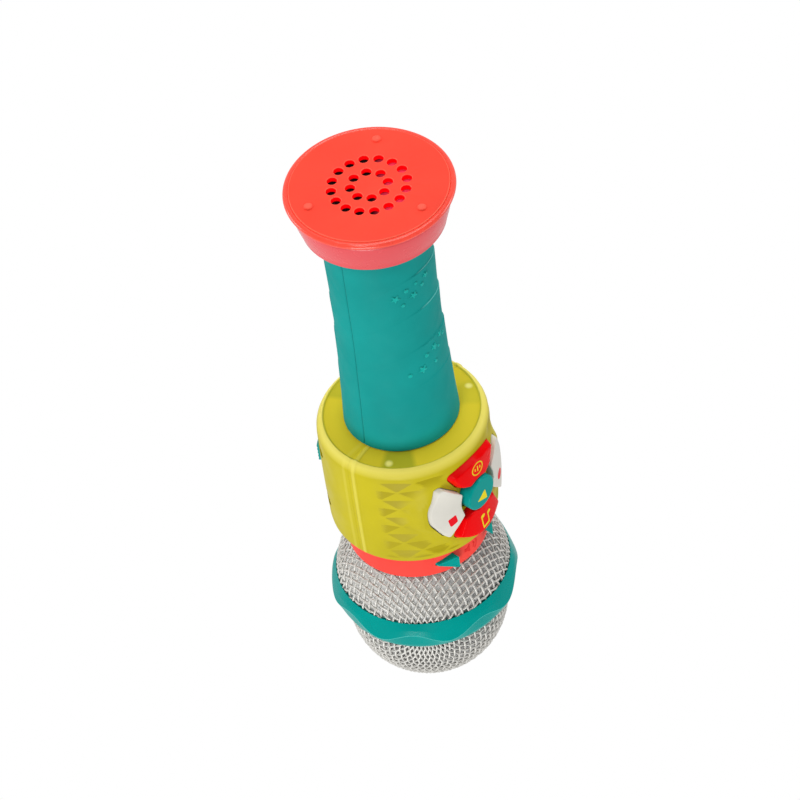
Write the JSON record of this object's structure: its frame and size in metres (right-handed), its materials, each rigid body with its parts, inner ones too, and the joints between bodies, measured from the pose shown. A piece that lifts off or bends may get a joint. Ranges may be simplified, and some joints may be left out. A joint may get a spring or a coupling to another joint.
{
  "type": "toy microphone",
  "caption": "Hand-held toy microphone with a flared loudspeaker base, a light-up collar with push buttons and a mesh head.",
  "frame": {"origin": "on the surface that the feet stand on, below the centre of the speaker cover", "axes": "+Z runs along the toy from the speaker end to the mesh head; the push buttons face -Y"},
  "size_m": [0.0702, 0.0702, 0.2401],
  "materials": {
    "coral_plastic": "satin moulded",
    "teal_plastic": "satin moulded",
    "yellow_translucent": "translucent, lit from inside",
    "red_plastic": "gloss",
    "white_plastic": "gloss",
    "silver_wire": "woven plated wire",
    "grey_plastic": "matte",
    "black_plastic": "matte",
    "steel": "plated",
    "circuit_board": "solder mask",
    "grey_rubber": "matte",
    "cone_paper": "pressed paper",
    "battery_wrap": "printed sleeve without marks",
    "led_lens": "clear",
    "wire_red": "insulated wire",
    "wire_black": "insulated wire",
    "wire_grey": "insulated wire"
  },
  "bodies": {
    "microphone_body": {"end_cap": "coral_plastic", "speaker_cover": "coral_plastic", "neck_ring": "coral_plastic", "handle_front": "teal_plastic", "handle_rear": "teal_plastic", "battery_door": "teal_plastic", "head_ring": "teal_plastic", "collar_front": "yellow_translucent", "collar_rear": "yellow_translucent", "neck_mesh": "silver_wire", "crown_mesh": "silver_wire", "neck_liner": "grey_plastic", "crown_liner": "grey_plastic", "mic_bracket": "grey_plastic", "dust_cloth": "black_plastic", "speaker_gasket": "black_plastic", "battery_box": "black_plastic", "sound_chip": "black_plastic", "switch_body": "black_plastic", "speaker_frame": "steel", "speaker_magnet": "steel", "battery_contact_bottom": "steel", "battery_contact_top": "steel", "handle_screw_1": "steel", "handle_screw_2": "steel", "door_screw": "steel", "collar_screw_1": "steel", "collar_screw_2": "steel", "collar_screw_3": "steel", "collar_screw_4": "steel", "neck_screw_1": "steel", "neck_screw_2": "steel", "neck_screw_3": "steel", "mic_capsule": "steel", "button_board": "circuit_board", "main_board": "circuit_board", "led_board": "circuit_board", "volume_board": "circuit_board", "keypad": "grey_rubber", "volume_keypad": "grey_rubber", "mic_holder": "grey_rubber", "speaker_cone": "cone_paper", "battery_1": "battery_wrap", "battery_2": "battery_wrap", "battery_3": "battery_wrap", "led_1": "led_lens", "led_2": "led_lens", "led_3": "led_lens", "speaker_wire": "wire_red", "battery_wire": "wire_black", "mic_wire": "wire_grey"},
    "play_button": {"play_button": "teal_plastic"},
    "stop_button": {"stop_button": "white_plastic"},
    "record_button": {"record_button": "white_plastic"},
    "song_button": {"song_button": "red_plastic"},
    "effects_button": {"effects_button": "red_plastic"},
    "volume_down_button": {"volume_down_button": "teal_plastic"},
    "volume_up_button": {"volume_up_button": "teal_plastic"},
    "power_switch": {"power_switch": "teal_plastic"}
  },
  "joints": [
    {"name": "play_press", "type": "slide", "parent": "microphone_body", "child": "play_button", "axis": [0, 1, 0], "range_m": [0, 0.0012], "stiffness_N_per_m": 600},
    {"name": "stop_press", "type": "slide", "parent": "microphone_body", "child": "stop_button", "axis": [0, 1, 0], "range_m": [0, 0.0012], "stiffness_N_per_m": 600},
    {"name": "record_press", "type": "slide", "parent": "microphone_body", "child": "record_button", "axis": [0, 1, 0], "range_m": [0, 0.0012], "stiffness_N_per_m": 600},
    {"name": "song_press", "type": "slide", "parent": "microphone_body", "child": "song_button", "axis": [0, 1, 0], "range_m": [0, 0.0012], "stiffness_N_per_m": 600},
    {"name": "effects_press", "type": "slide", "parent": "microphone_body", "child": "effects_button", "axis": [0, 1, 0], "range_m": [0, 0.0012], "stiffness_N_per_m": 600},
    {"name": "volume_down_press", "type": "slide", "parent": "microphone_body", "child": "volume_down_button", "axis": [0, 1, 0], "range_m": [0, 0.001], "stiffness_N_per_m": 600},
    {"name": "volume_up_press", "type": "slide", "parent": "microphone_body", "child": "volume_up_button", "axis": [0, 1, 0], "range_m": [0, 0.001], "stiffness_N_per_m": 600},
    {"name": "power_slide", "type": "slide", "parent": "microphone_body", "child": "power_switch", "axis": [0, 0, 1], "range_m": [0, 0.004]}
  ]
}
